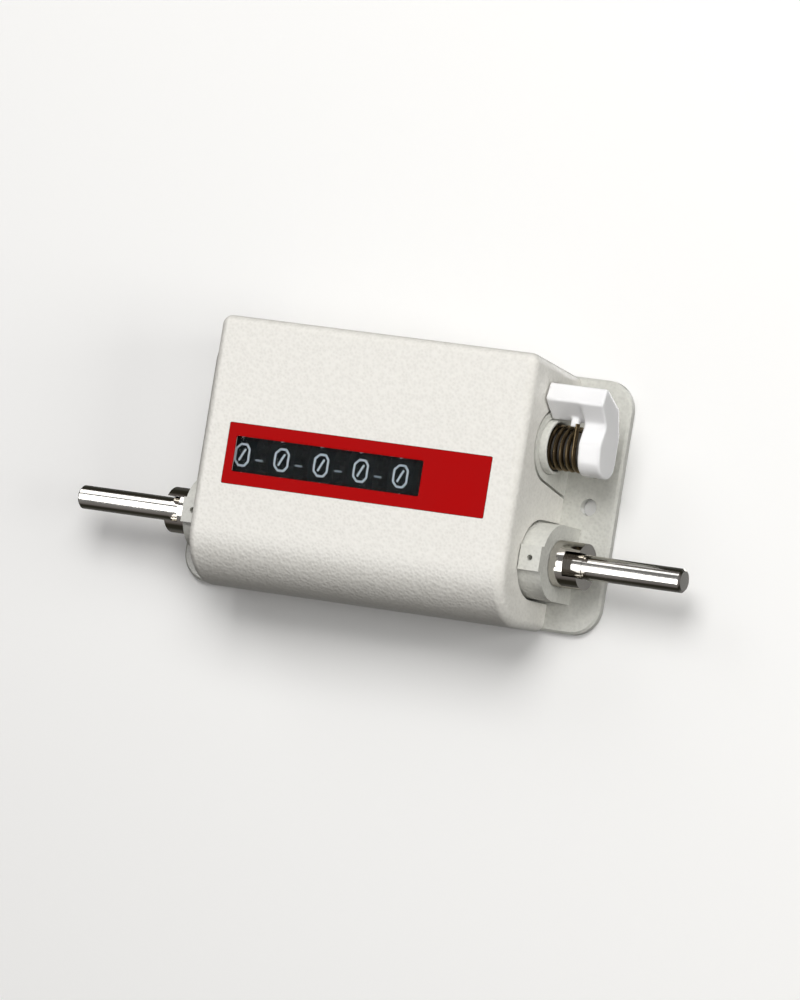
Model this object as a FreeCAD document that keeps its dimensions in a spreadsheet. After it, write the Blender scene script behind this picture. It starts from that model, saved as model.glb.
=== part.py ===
import FreeCAD, Part
import math
import os
import re
import Sketcher

Vector = FreeCAD.Vector

# Revolution counter with five number wheels, driven by a shaft that runs right through it.
# X runs along the input shaft, Y up the front face, Z out of the window.
# The origin is midway between the two mounting holes, on the back of the cast base.

doc = FreeCAD.newDocument("revolution_counter")
sheet = doc.addObject("Spreadsheet::Sheet", "Sizes")

driving_sizes = {
    # cast base: flange, mounting ears, bearing blocks
    "flange_length": 136.0,
    "flange_width": 73.2,
    "flange_thickness": 2.5,
    "flange_corner": 8.5,
    "flange_edge": 0.7,
    "mount_spacing": 119.0,
    "mount_hole": 5.0,
    "block_inset": 3.65,
    "block_thickness": 1.7,
    "block_web_rise": 11.0,
    "hub_diameter": 21.8,
    "hub_reach": 6.95,
    "oil_pad_length": 6.6,
    "oil_pad_width": 7.2,
    "oil_pad_rise": 0.9,
    "oil_hole": 1.7,
    "bush_diameter": 10.0,
    # reset bearing boss, cast with the right-hand block
    "boss_diameter": 20.0,
    "boss_flare": 3.2,
    "boss_reach": 0.15,
    "pocket_diameter": 16.0,
    "pocket_depth": 1.6,
    "leg_notch_width": 1.9,
    # cover
    "cover_length": 102.5,
    "cover_top": 39.9,
    "cover_top_lean": 3.4,
    "cover_bottom": 38.1,
    "cover_bottom_lean": 0.9,
    "cover_front": 33.5,
    "cover_wall": 1.6,
    "cover_roll": 16.0,
    "cover_edge": 3.0,
    "cover_end_round": 2.8,
    "notch_clearance": 0.7,
    "post_diameter": 6.4,
    "post_inset": 9.75,
    "post_top_rise": 29.4,
    "post_bottom_drop": 31.0,
    # window
    "window_length": 85.0,
    "window_height": 17.6,
    "window_gap": 0.1,
    "window_corner": 0.5,
    "lens_thickness": 0.7,
    "mask_thickness": 0.5,
    "window_ledge": 2.2,
    "aperture_height": 10.3,
    "aperture_left_reach": 1.7,
    "aperture_right_reach": 7.7,
    # input shaft, collars and drive gear
    "shaft_diameter": 7.4,
    "shaft_length": 196.4,
    "shaft_end_diameter": 6.9,
    "shaft_chamfer": 0.6,
    "shaft_drop": 17.5,
    "shaft_height": 13.5,
    "running_gap": 0.05,
    "collar_diameter": 13.3,
    "collar_length": 8.6,
    "collar_gap": 0.3,
    "collar_slot_depth": 4.4,
    "collar_slot_width": 7.2,
    "cross_pin": 1.5,
    "cross_pin_inset": 2.1,
    "gear_teeth": 22,
    "gear_width": 3.0,
    "gear_gap": 3.6,
    "gear_hub_diameter": 11.0,
    "gear_hub_length": 3.0,
    # number wheels
    "wheel_axis_height": 18.2,
    "wheel_diameter": 26.5,
    "wheel_width": 8.2,
    "wheel_pitch": 12.9,
    "units_wheel_gap": 12.6,
    "wheel_hub_diameter": 7.2,
    "wheel_shaft_diameter": 5.0,
    "wheel_gap": 0.3,
    "carry_disc_diameter": 16.8,
    "carry_disc_thickness": 1.2,
    "carry_tooth_height": 0.8,
    "carry_root_deg": 7.0,
    "carry_tip_deg": 4.0,
    "carry_start_deg": 27.0,
    "carry_pitch_deg": 18.0,
    "cam_thickness": 1.4,
    "cam_valley_radius": 3.9,
    "cam_lobe_radius": 8.2,
    "carry_gear_teeth": 20,
    "carry_module": 1.05,
    "carry_gear_width": 1.6,
    "ratchet_diameter": 10.4,
    "ratchet_teeth": 12,
    "ratchet_depth": 0.8,
    "pawl_gap": 0.4,
    "pawl_thickness": 1.0,
    "pawl_pivot_rise": 1.6,
    "pawl_pivot_deg": 60.0,
    # transfer pinions between the wheels
    "pinion_teeth": 8,
    "pinion_width": 4.1,
    "pinion_shaft_diameter": 2.0,
    "pinion_bearing_deg": 152.0,
    # counter frame
    "frame_thickness": 1.6,
    "left_frame_gap": 4.25,
    "frame_span": 73.0,
    "frame_width": 44.5,
    "frame_left_reach": 24.0,
    "frame_height": 27.0,
    "foot_length": 8.4,
    "frame_shaft_hole": 9.0,
    "frame_shoulder": 8.0,
    "frame_top_start": 7.0,
    "frame_top_length": 22.5,
    "frame_round": 3.0,
    "pilot_floor": 0.6,
    "frame_screw_spread": 18.0,
    "screw_diameter": 3.0,
    "screw_head": 5.4,
    "screw_head_height": 1.8,
    "frame_screw_length": 3.3,
    "cover_screw_length": 9.0,
    "clip_thickness": 0.6,
    "clip_width": 2.2,
    "shaft_stub": 0.8,
    "rod_projection": 0.4,
    "groove_depth": 0.5,
    # reset mechanism
    "reset_rise": 15.0,
    "reset_height": 15.5,
    "reset_shaft_diameter": 5.0,
    "reset_rod_diameter": 3.0,
    "reset_shaft_reach": 17.3,
    "hammer_thickness": 0.8,
    "hammer_length": 6.6,
    "hammer_hub_diameter": 6.4,
    "hammer_width": 2.6,
    "reset_travel_deg": 50.0,
    "lever_gap": 0.55,
    "lever_length": 18.2,
    "lever_plate": 7.1,
    "lever_pin_diameter": 1.2,
    "lever_pin_length": 10.5,
    "lever_pin_rise": 3.1,
    "sleeve_diameter": 9.8,
    "spring_wire": 1.3,
    "spring_wire_sides": 8,
    "spring_mean_radius": 5.95,
    "spring_turns": 5.25,
    "spring_length": 10.4,
    "spring_leg": 8.3,
    "spring_leg_fixed": 6.6,
}

for row, (alias, amount) in enumerate(driving_sizes.items(), start=1):
    sheet.set("A%d" % row, alias.replace("_", " "))
    sheet.set("B%d" % row, str(amount))
    sheet.setAlias("B%d" % row, alias)
doc.recompute()


def size(alias):
    return float(sheet.get(alias))


def tie(feature, prop, formula):
    # binds a property to a formula of the sheet's names
    feature.setExpression(prop, re.sub(r"[a-z][a-z_]+", r"Sizes.\g<0>", formula))


# Places shared by several pieces, as numbers for sketches and as formulas for ties.
# The counter's frame, wheels and gears keep their distance from the cover's left end.
cover_end = size("cover_length") / 2
block_place = "cover_length / 2 - block_inset"
left_frame_place = "(left_frame_gap - cover_length / 2)"
right_frame_place = "(left_frame_gap - cover_length / 2 + frame_span)"
units_wheel_place = "(left_frame_gap - cover_length / 2 + frame_span - units_wheel_gap)"
gear_place = "(left_frame_gap - cover_length / 2 + frame_span - gear_gap)"
left_frame_x = size("left_frame_gap") - cover_end
right_frame_x = left_frame_x + size("frame_span")
units_wheel_x = right_frame_x - size("units_wheel_gap")
gear_x = right_frame_x - size("gear_gap")
hub_face = cover_end + size("hub_reach")
hub_radius = size("hub_diameter") / 2
shaft_y = -size("shaft_drop")
shaft_z = size("shaft_height")
wheel_z = size("wheel_axis_height")
wheel_radius = size("wheel_diameter") / 2
reset_y = size("reset_rise")
reset_z = size("reset_height")
floor_z = size("flange_thickness")
front_z = size("cover_front")
carry_pitch_radius = size("carry_gear_teeth") * size("carry_module") / 2
pinion_pitch_radius = size("pinion_teeth") * size("carry_module") / 2
pinion_distance = carry_pitch_radius + pinion_pitch_radius
pinion_angle = math.radians(size("pinion_bearing_deg"))
pinion_y = pinion_distance * math.cos(pinion_angle)
pinion_z = wheel_z + pinion_distance * math.sin(pinion_angle)
gear_distance = math.hypot(shaft_y, shaft_z - wheel_z)
gear_module = gear_distance / size("gear_teeth")
gear_angle = math.atan2(shaft_z - wheel_z, shaft_y)
reset_distance = math.hypot(reset_y, reset_z - wheel_z)
valley_angle = math.atan2(reset_z - wheel_z, reset_y)


def new_body(label):
    body = doc.addObject("PartDesign::Body", label)
    body.Label = label
    return body


def place(body, x, y, z):
    # puts a body that is modelled about its own axis, by three formulas
    tie(body, "Placement.Base.x", x)
    tie(body, "Placement.Base.y", y)
    tie(body, "Placement.Base.z", z)


def sketch_on(body, plane, offset="0"):
    origin_plane = next(p for p in body.Origin.OriginFeatures if p.Role == plane)
    sketch = body.newObject("Sketcher::SketchObject", "Sketch")
    sketch.AttachmentSupport = [(origin_plane, "")]
    sketch.MapMode = "FlatFace"
    tie(sketch, "AttachmentOffset.Base.z", offset)
    return sketch


def circle(sketch, u, v, diameter):
    number = sketch.addGeometry(Part.Circle(Vector(u, v, 0), Vector(0, 0, 1), 1.0), False)
    name = "diameter_%d" % number
    sketch.addConstraint(Sketcher.Constraint("Diameter", number, 2.0))
    sketch.renameConstraint(sketch.ConstraintCount - 1, name)
    tie(sketch, "Constraints." + name, diameter)


def outline(sketch, corners):
    # closed outline through (u, v) or (u, v, radius) corners, rounded where a radius is given
    points = [Vector(corner[0], corner[1], 0) for corner in corners]
    rounds = [corner[2] if len(corner) > 2 else 0 for corner in corners]
    spans = []
    for i, here in enumerate(points):
        if rounds[i] == 0:
            spans.append((here, None, here))
            continue
        back = (points[i - 1] - here).normalize()
        ahead = (points[(i + 1) % len(points)] - here).normalize()
        half = back.getAngle(ahead) / 2
        reach = rounds[i] / math.tan(half)
        centre = here + (back + ahead).normalize() * (rounds[i] / math.sin(half))
        middle = centre + (here - centre).normalize() * rounds[i]
        spans.append((here + back * reach, middle, here + ahead * reach))
    edges = []
    for i, (enter, middle, leave) in enumerate(spans):
        if middle is not None:
            edges.append(Part.Arc(enter, middle, leave))
        following = spans[(i + 1) % len(spans)][0]
        if leave.distanceToPoint(following) > 1e-6:
            edges.append(Part.LineSegment(leave, following))
    sketch.addGeometry(edges, False)


def box_outline(sketch, u0, u1, v0, v1, radius=0):
    outline(sketch, [(u0, v0, radius), (u1, v0, radius), (u1, v1, radius), (u0, v1, radius)])


def polar(angle, radius, centre=(0.0, 0.0)):
    return (centre[0] + radius * math.cos(angle), centre[1] + radius * math.sin(angle))


# half a tooth from root to tip: half width as a share of the pitch, height in modules
gear_flank = [(0.27, -1.1), (0.09, 0.8)]


def gear_outline(sketch, teeth, pitch_radius, module, first_angle, tip_every=1):
    # straight-flanked teeth, thinner than half the pitch so that a meshing pair runs free;
    # tip_every=2 leaves out every second tooth
    root = pitch_radius + gear_flank[0][1] * module
    pitch = 2 * math.pi / teeth
    corners = []
    for number in range(teeth):
        middle = first_angle + number * pitch
        if number % tip_every:
            corners.append(polar(middle, root))
            continue
        for share, radius in gear_flank:
            corners.append(polar(middle - share * pitch, pitch_radius + radius * module))
        for share, radius in reversed(gear_flank):
            corners.append(polar(middle + share * pitch, pitch_radius + radius * module))
    outline(sketch, corners)


def pad(body, sketch, length, reverse=False, side="One side"):
    feature = body.newObject("PartDesign::Pad", "Pad")
    feature.Profile = sketch
    feature.SideType = side
    feature.Reversed = reverse
    tie(feature, "Length", length)
    sketch.Visibility = False
    return feature


def pocket(body, sketch, length=None, reverse=False, side="One side"):
    feature = body.newObject("PartDesign::Pocket", "Pocket")
    feature.Profile = sketch
    feature.SideType = side
    feature.Reversed = reverse
    if length is None:
        feature.Type = "ThroughAll"
    else:
        tie(feature, "Length", length)
    sketch.Visibility = False
    return feature


def revolve(body, corners):
    # a closed outline of (x, radius) corners turned about the body's X axis
    sketch = sketch_on(body, "XY_Plane")
    outline(sketch, corners)
    feature = body.newObject("PartDesign::Revolution", "Revolution")
    feature.Profile = sketch
    feature.ReferenceAxis = (next(a for a in body.Origin.OriginFeatures if a.Role == "X_Axis"), [""])
    feature.Angle = 360
    sketch.Visibility = False
    return feature


def cylinder(label, diameter, length, start, axis):
    # a plain round piece from start, along a row axis given as a vector
    piece = doc.addObject("Part::Cylinder", label)
    piece.Label = label
    tie(piece, "Radius", "(%s) / 2" % diameter)
    tie(piece, "Height", length)
    piece.Placement = FreeCAD.Placement(Vector(*start), FreeCAD.Rotation(Vector(0, 0, 1), axis))
    return piece


def cut(label, base, tools):
    # base less the tools, which are fused first where there are several
    tool = tools[0]
    if len(tools) > 1:
        tool = doc.addObject("Part::MultiFuse", label + "_tools")
        tool.Shapes = tools
    result = doc.addObject("Part::Cut", label)
    result.Label = label
    result.Base = base
    result.Tool = tool
    return result


def group(label, pieces):
    # several separate solids kept as one node
    result = doc.addObject("Part::Compound", label)
    result.Label = label
    result.Links = pieces
    return result


ALONG_X = Vector(1, 0, 0)
ALONG_Y = Vector(0, 1, 0)
ALONG_Z = Vector(0, 0, 1)


# Cast base

def tangent_arch(sketch, centre_y, centre_z, radius, flare, foot_z):
    # round-topped outline whose two sides run down to foot_z, leaning out by flare
    side = radius + flare
    drop = centre_z - foot_z
    lean = math.atan2(-drop, side) + math.acos(radius / math.hypot(side, drop))
    right = polar(lean, radius, (centre_y, centre_z))
    left = (2 * centre_y - right[0], right[1])
    start, top, end = Vector(*right, 0), Vector(centre_y, centre_z + radius, 0), Vector(*left, 0)
    right_foot = Vector(centre_y + side, foot_z, 0)
    left_foot = Vector(centre_y - side, foot_z, 0)
    sketch.addGeometry([Part.Arc(start, top, end), Part.LineSegment(end, left_foot),
                        Part.LineSegment(left_foot, right_foot), Part.LineSegment(right_foot, start)], False)


def bearing_block(body, side, web_top_y):
    # upright web inside the cover, with the round hub for the input shaft; side is 1 or -1
    sign = "" if side > 0 else "-"
    mirrored = side < 0
    root_z = floor_z / 2
    web = sketch_on(body, "YZ_Plane", "%s(%s)" % (sign, block_place))
    box_outline(web, shaft_y - hub_radius, web_top_y, root_z, root_z + size("block_web_rise"))
    pad(body, web, "block_thickness", mirrored)
    hub = sketch_on(body, "YZ_Plane", "%s(%s)" % (sign, block_place))
    tangent_arch(hub, shaft_y, shaft_z, hub_radius, 0.01, root_z)
    pad(body, hub, "block_inset + hub_reach", mirrored)
    inner = hub_face - size("oil_pad_length")
    oil_pad = sketch_on(body, "XY_Plane", "shaft_height")
    ends = sorted((side * inner, side * hub_face))
    half = size("oil_pad_width") / 2
    box_outline(oil_pad, ends[0], ends[1], shaft_y - half, shaft_y + half)
    pad(body, oil_pad, "hub_diameter / 2 + oil_pad_rise")
    bore = sketch_on(body, "YZ_Plane", "%s(%s)" % (sign, block_place))
    circle(bore, shaft_y, shaft_z, "bush_diameter")
    pocket(body, bore, "block_inset + hub_reach", not mirrored)
    oil = sketch_on(body, "XY_Plane", "shaft_height")
    circle(oil, side * (inner + hub_face) / 2, shaft_y, "oil_hole")
    pocket(body, oil, "hub_diameter / 2 + oil_pad_rise", True)


def make_base_casting():
    body = new_body("base_casting_body")
    flange = sketch_on(body, "XY_Plane")
    half_x, half_y = size("flange_length") / 2, size("flange_width") / 2
    box_outline(flange, -half_x, half_x, -half_y, half_y, size("flange_corner"))
    plate = pad(body, flange, "flange_thickness")
    doc.recompute()
    rim = ["Edge%d" % (i + 1) for i, edge in enumerate(plate.Shape.Edges)
           if all(abs(v.Z - floor_z) < 1e-6 for v in edge.Vertexes)]
    softened = body.newObject("PartDesign::Chamfer", "Chamfer")
    softened.Base = (plate, rim)
    tie(softened, "Size", "flange_edge")
    holes = sketch_on(body, "XY_Plane")
    for side in (-1, 1):
        circle(holes, side * size("mount_spacing") / 2, 0, "mount_hole")
    pocket(body, holes, "flange_thickness", True)
    bearing_block(body, -1, shaft_y + hub_radius)
    bearing_block(body, 1, reset_y + size("boss_diameter") / 2)
    boss = sketch_on(body, "YZ_Plane", block_place)
    tangent_arch(boss, reset_y, reset_z, size("boss_diameter") / 2, size("boss_flare"), floor_z / 2)
    pad(body, boss, "block_inset + boss_reach")
    recess = sketch_on(body, "YZ_Plane", "cover_length / 2 + boss_reach")
    circle(recess, reset_y, reset_z, "pocket_diameter")
    pocket(body, recess, "pocket_depth")
    notch = sketch_on(body, "YZ_Plane", "cover_length / 2 + boss_reach")
    leg_y = reset_y - size("spring_mean_radius")
    half = size("leg_notch_width") / 2
    leg_end_z = reset_z - size("spring_leg_fixed") - size("wheel_gap")
    box_outline(notch, leg_y - half, leg_y + half, leg_end_z, reset_z)
    pocket(body, notch, "pocket_depth")
    bore = sketch_on(body, "YZ_Plane", block_place)
    circle(bore, reset_y, reset_z, "reset_shaft_diameter + 2 * running_gap")
    pocket(body, bore, "block_inset + boss_reach", True)
    pilots = sketch_on(body, "XY_Plane", "flange_thickness")
    for x, y in frame_screw_places():
        circle(pilots, x, y, "screw_diameter")
    pocket(body, pilots, "flange_thickness - pilot_floor")
    tools = []
    for number, (x, y) in enumerate(post_places()):
        tools.append(screw_shape("cover_screw_seat_%d" % number, x, y))
    return cut("base_casting", body, tools)


def post_places():
    x = cover_end - size("post_inset")
    rise, drop = size("post_top_rise"), -size("post_bottom_drop")
    return [(-x, rise), (x, rise), (-x, drop), (x, drop)]


def screw_shape(label, x, y):
    # countersunk cover screw, its head flush with the back of the base
    head = doc.addObject("Part::Cone", label + "_head")
    tie(head, "Radius1", "screw_head / 2")
    tie(head, "Radius2", "screw_diameter / 2")
    tie(head, "Height", "(screw_head - screw_diameter) / 2")
    head.Placement.Base = Vector(x, y, 0)
    shank = cylinder(label + "_shank", "screw_diameter", "cover_screw_length", (x, y, 0), ALONG_Z)
    whole = doc.addObject("Part::Fuse", label)
    whole.Base = head
    whole.Tool = shank
    return whole


def make_cover_screws():
    return group("cover_screws", [screw_shape("cover_screw_%d" % number, x, y)
                                  for number, (x, y) in enumerate(post_places())])


# Cover with its window

def cover_profile(sketch, inset):
    # section across the cover, moved in by the wall's thickness for the hollow
    top, bottom = size("cover_top"), -size("cover_bottom")
    front = front_z - inset
    foot = floor_z if inset == 0 else floor_z - 1
    lean = size("cover_top_lean") / (front_z - floor_z)
    bottom_lean = size("cover_bottom_lean") / (front_z - floor_z)
    top_front = top - inset - lean * (front_z - front)
    top_foot = top - inset - lean * (front_z - foot)
    bottom_foot = bottom + inset + bottom_lean * (front_z - foot)
    outline(sketch, [(top_foot, foot), (top_front, front, max(size("cover_edge") - inset, 0.3)),
                     (bottom + inset, front, size("cover_roll") - inset), (bottom_foot, foot)])


def make_cover():
    body = new_body("cover_body")
    profile = sketch_on(body, "YZ_Plane")
    cover_profile(profile, 0)
    block = pad(body, profile, "cover_length", side="Symmetric")
    doc.recompute()
    ends = []
    for i, edge in enumerate(block.Shape.Edges):
        centre = edge.CenterOfMass
        at_end = abs(abs(centre.x) - cover_end) < 1e-6
        if at_end and centre.z > floor_z + 0.5:
            ends.append("Edge%d" % (i + 1))
    rounded = body.newObject("PartDesign::Fillet", "Fillet")
    rounded.Base = (block, ends)
    tie(rounded, "Radius", "cover_end_round")
    seat = sketch_on(body, "XY_Plane", "cover_front")
    half_x = size("window_length") / 2 + size("window_gap")
    half_y = size("window_height") / 2 + size("window_gap")
    box_outline(seat, -half_x, half_x, -half_y, half_y, size("window_corner"))
    pocket(body, seat, "lens_thickness + mask_thickness")
    opening = sketch_on(body, "XY_Plane", "cover_front")
    ledge = size("window_ledge")
    box_outline(opening, -half_x + ledge, half_x - ledge, -half_y + ledge, half_y - ledge,
                size("window_corner"))
    pocket(body, opening, "cover_wall + 1")
    hub_notch = sketch_on(body, "YZ_Plane")
    reach = hub_radius + size("notch_clearance")
    tangent_arch(hub_notch, shaft_y, shaft_z, reach, 0.01, floor_z - 1)
    pocket(body, hub_notch, "cover_length + 2", side="Symmetric")
    boss_notch = sketch_on(body, "YZ_Plane")
    boss_radius = size("boss_diameter") / 2 + size("notch_clearance")
    tangent_arch(boss_notch, reset_y, reset_z, boss_radius, size("boss_flare"), floor_z - 1)
    pocket(body, boss_notch, "cover_length / 2 + 1", True)
    hollow = new_body("cover_hollow")
    inner = sketch_on(hollow, "YZ_Plane")
    cover_profile(inner, size("cover_wall"))
    pad(hollow, inner, "cover_length - 2 * cover_wall", side="Symmetric")
    posts = sketch_on(hollow, "XY_Plane")
    for x, y in post_places():
        circle(posts, x, y, "post_diameter")
    pocket(hollow, posts, "cover_front", True)
    shell = cut("cover_shell", body, [hollow])
    pilots = []
    for number, (x, y) in enumerate(post_places()):
        pilots.append(cylinder("cover_pilot_%d" % number, "screw_diameter", "cover_screw_length + 1",
                               (x, y, 0), ALONG_Z))
    return cut("cover", shell, pilots)


def window_plate(label, front_depth, thickness):
    body = new_body(label)
    face = sketch_on(body, "XY_Plane", "cover_front - %s" % front_depth)
    half_x, half_y = size("window_length") / 2, size("window_height") / 2
    box_outline(face, -half_x, half_x, -half_y, half_y, size("window_corner"))
    pad(body, face, thickness)
    return body


def make_window_lens():
    return window_plate("window_lens", "mask_thickness - lens_thickness", "lens_thickness")


def make_window_mask():
    body = window_plate("window_mask", "mask_thickness", "mask_thickness")
    aperture = sketch_on(body, "XY_Plane", "cover_front")
    left = units_wheel_x - 4 * size("wheel_pitch") - size("aperture_left_reach")
    right = units_wheel_x + size("aperture_right_reach")
    half_y = size("aperture_height") / 2
    box_outline(aperture, left, right, -half_y, half_y, size("window_corner"))
    pocket(body, aperture, "mask_thickness")
    return body


# Counter frame: two steel plates with a bent foot each

def frame_screw_places():
    places = []
    half_foot = (size("frame_thickness") + size("foot_length")) / 2
    left = left_frame_x + half_foot
    right = right_frame_x + half_foot
    for x in (left, right):
        for side in (-1, 1):
            places.append((x, side * size("frame_screw_spread")))
    return places


def make_frame_plate(label, plate_place, start):
    body = new_body(label)
    low_y = -size("frame_left_reach")
    high_y = low_y + size("frame_width")
    top_z = floor_z + size("frame_height")
    plate = sketch_on(body, "YZ_Plane", plate_place)
    shoulder, corner = size("frame_shoulder"), size("frame_round")
    top_y = low_y + size("frame_top_start")
    outline(plate, [(low_y, floor_z), (high_y, floor_z), (high_y, top_z - shoulder, corner),
                    (top_y + size("frame_top_length"), top_z, corner), (top_y, top_z, corner),
                    (low_y, top_z - shoulder, corner)])
    pad(body, plate, "frame_thickness")
    foot = sketch_on(body, "XY_Plane", "flange_thickness")
    box_outline(foot, start, start + size("frame_thickness") + size("foot_length"), low_y, high_y)
    pad(body, foot, "frame_thickness")
    holes = sketch_on(body, "YZ_Plane", plate_place)
    circle(holes, 0, wheel_z, "wheel_shaft_diameter")
    circle(holes, pinion_y, pinion_z, "pinion_shaft_diameter")
    circle(holes, reset_y, reset_z, "reset_rod_diameter + 2 * running_gap")
    circle(holes, shaft_y, shaft_z, "frame_shaft_hole")
    pocket(body, holes, "frame_thickness", True)
    screws = sketch_on(body, "XY_Plane", "flange_thickness")
    for x, y in frame_screw_places():
        if start < x < start + size("frame_thickness") + size("foot_length"):
            circle(screws, x, y, "screw_diameter")
    pocket(body, screws, "frame_thickness", True)
    return body


def make_frame_screws():
    screws = []
    under_head = floor_z + size("frame_thickness")
    for number, (x, y) in enumerate(frame_screw_places()):
        name = "frame_screw_%d" % number
        head = cylinder(name + "_head", "screw_head", "screw_head_height", (x, y, under_head), ALONG_Z)
        shank = cylinder(name + "_shank", "screw_diameter", "frame_screw_length", (x, y, under_head),
                         -ALONG_Z)
        whole = doc.addObject("Part::Fuse", name)
        whole.Base = head
        whole.Tool = shank
        screws.append(whole)
    return group("frame_screws", screws)


# Shafts, bushes, collars and clips

def make_input_shaft():
    body = new_body("input_shaft")
    half = size("shaft_length") / 2
    radius = size("shaft_diameter") / 2
    end_radius = size("shaft_end_diameter") / 2
    step = hub_face + size("collar_gap") + size("collar_length")
    chamfer = size("shaft_chamfer")
    revolve(body, [(-half, 0), (-half, end_radius - chamfer), (-half + chamfer, end_radius),
                   (-step, end_radius), (-step, radius), (step, radius), (step, end_radius),
                   (half - chamfer, end_radius), (half, end_radius - chamfer), (half, 0)])
    collar_holes = sketch_on(body, "XZ_Plane")
    for side in (-1, 1):
        circle(collar_holes, side * collar_pin_place(), 0, "cross_pin")
    pocket(body, collar_holes, side="Symmetric")
    gear_hole = sketch_on(body, "XY_Plane")
    circle(gear_hole, gear_pin_place(), 0, "cross_pin")
    pocket(body, gear_hole, side="Symmetric")
    place(body, "0", "-shaft_drop", "shaft_height")
    return body


def collar_pin_place():
    return hub_face + size("collar_gap") + size("cross_pin_inset")


def gear_pin_place():
    return gear_x - (size("gear_width") + size("gear_hub_length")) / 2


def make_bearing_bush(label, side):
    body = new_body(label)
    sign = "" if side > 0 else "-"
    ring = sketch_on(body, "YZ_Plane", "%s(%s)" % (sign, block_place))
    circle(ring, 0, 0, "bush_diameter")
    circle(ring, 0, 0, "shaft_diameter + 2 * running_gap")
    pad(body, ring, "block_inset + hub_reach", side < 0)
    oil = sketch_on(body, "XY_Plane")
    circle(oil, side * (hub_face - size("oil_pad_length") / 2), 0, "oil_hole")
    pocket(body, oil, "bush_diameter", True)
    place(body, "0", "-shaft_drop", "shaft_height")
    return body


def make_shaft_collar(label, side):
    # chromed collar, slotted across its outer end to take a coupling
    body = new_body(label)
    sign = "" if side > 0 else "-"
    start = "%s(cover_length / 2 + hub_reach + collar_gap)" % sign
    ring = sketch_on(body, "YZ_Plane", start)
    circle(ring, 0, 0, "collar_diameter")
    circle(ring, 0, 0, "shaft_diameter")
    pad(body, ring, "collar_length", side < 0)
    slot = sketch_on(body, "YZ_Plane", "%s(cover_length / 2 + hub_reach + collar_gap + collar_length)" % sign)
    half = size("collar_slot_width") / 2
    reach = size("collar_diameter")
    box_outline(slot, -half, half, -reach, reach)
    pocket(body, slot, "collar_slot_depth", side < 0)
    pin_hole = sketch_on(body, "XZ_Plane")
    circle(pin_hole, side * collar_pin_place(), 0, "cross_pin")
    pocket(body, pin_hole, side="Symmetric")
    place(body, "0", "-shaft_drop", "shaft_height")
    return body


def make_collar_pins():
    pins = []
    for number, side in enumerate((-1, 1)):
        start = (side * collar_pin_place(), shaft_y - size("collar_diameter") / 2 + 0.2, shaft_z)
        pins.append(cylinder("collar_pin_%d" % number, "cross_pin", "collar_diameter - 0.4", start, ALONG_Y))
    return group("collar_pins", pins)


def make_input_gear():
    body = new_body("input_gear")
    teeth = sketch_on(body, "YZ_Plane", gear_place + " - gear_width / 2")
    count = int(size("gear_teeth"))
    facing = gear_angle + math.pi + math.pi / count
    gear_outline(teeth, count, gear_distance / 2, gear_module, facing)
    pad(body, teeth, "gear_width")
    hub = sketch_on(body, "YZ_Plane", gear_place + " - gear_width / 2")
    circle(hub, 0, 0, "gear_hub_diameter")
    pad(body, hub, "gear_hub_length", True)
    bore = sketch_on(body, "YZ_Plane", gear_place + " - gear_width / 2 - gear_hub_length")
    circle(bore, 0, 0, "shaft_diameter")
    pocket(body, bore, "gear_width + gear_hub_length", True)
    pin_hole = sketch_on(body, "XY_Plane")
    circle(pin_hole, gear_pin_place(), 0, "cross_pin")
    pocket(body, pin_hole, side="Symmetric")
    place(body, "0", "-shaft_drop", "shaft_height")
    return body


def make_gear_pin():
    start = (gear_pin_place(), shaft_y, shaft_z - size("gear_hub_diameter") / 2 + 0.2)
    return cylinder("gear_pin", "cross_pin", "gear_hub_diameter - 0.4", start, ALONG_Z)


def wheel_shaft_ends():
    # grooves lie just outside the two frame plates
    left = left_frame_x
    right = right_frame_x + size("frame_thickness")
    return left, right


def make_wheel_shaft():
    body = new_body("wheel_shaft")
    left, right = wheel_shaft_ends()
    radius = size("wheel_shaft_diameter") / 2
    neck = radius - size("groove_depth")
    clip = size("clip_thickness")
    stub = size("shaft_stub")
    revolve(body, [(left - clip - stub, 0), (left - clip - stub, radius), (left - clip, radius),
                   (left - clip, neck), (left, neck), (left, radius), (right, radius), (right, neck),
                   (right + clip, neck), (right + clip, radius), (right + clip + stub, radius),
                   (right + clip + stub, 0)])
    place(body, "0", "0", "wheel_axis_height")
    return body


def retaining_clip(label, x, y, z, shaft_name):
    # open ring that snaps into a groove
    body = new_body(label)
    neck = size(shaft_name) / 2 - size("groove_depth")
    outer = neck + size("clip_width")
    ring = sketch_on(body, "YZ_Plane")
    circle(ring, 0, 0, "%s - 2 * groove_depth + 2 * clip_width" % shaft_name)
    circle(ring, 0, 0, "%s - 2 * groove_depth" % shaft_name)
    pad(body, ring, "clip_thickness")
    mouth = sketch_on(body, "YZ_Plane")
    box_outline(mouth, -neck * 0.8, neck * 0.8, -outer - 1, 0)
    pocket(body, mouth, "clip_thickness", True)
    body.Placement.Base = Vector(x, y, z)
    return body


def make_wheel_shaft_clips():
    left, right = wheel_shaft_ends()
    return group("wheel_shaft_clips", [
        retaining_clip("wheel_clip_left", left - size("clip_thickness"), 0, wheel_z, "wheel_shaft_diameter"),
        retaining_clip("wheel_clip_right", right, 0, wheel_z, "wheel_shaft_diameter")])


def make_pinion_shaft():
    left, right = wheel_shaft_ends()
    start = (left - size("rod_projection"), pinion_y, pinion_z)
    return cylinder("pinion_shaft", "pinion_shaft_diameter",
                    "frame_span + frame_thickness + 2 * rod_projection", start, ALONG_X)


# Number wheels and their transfer pinions

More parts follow.
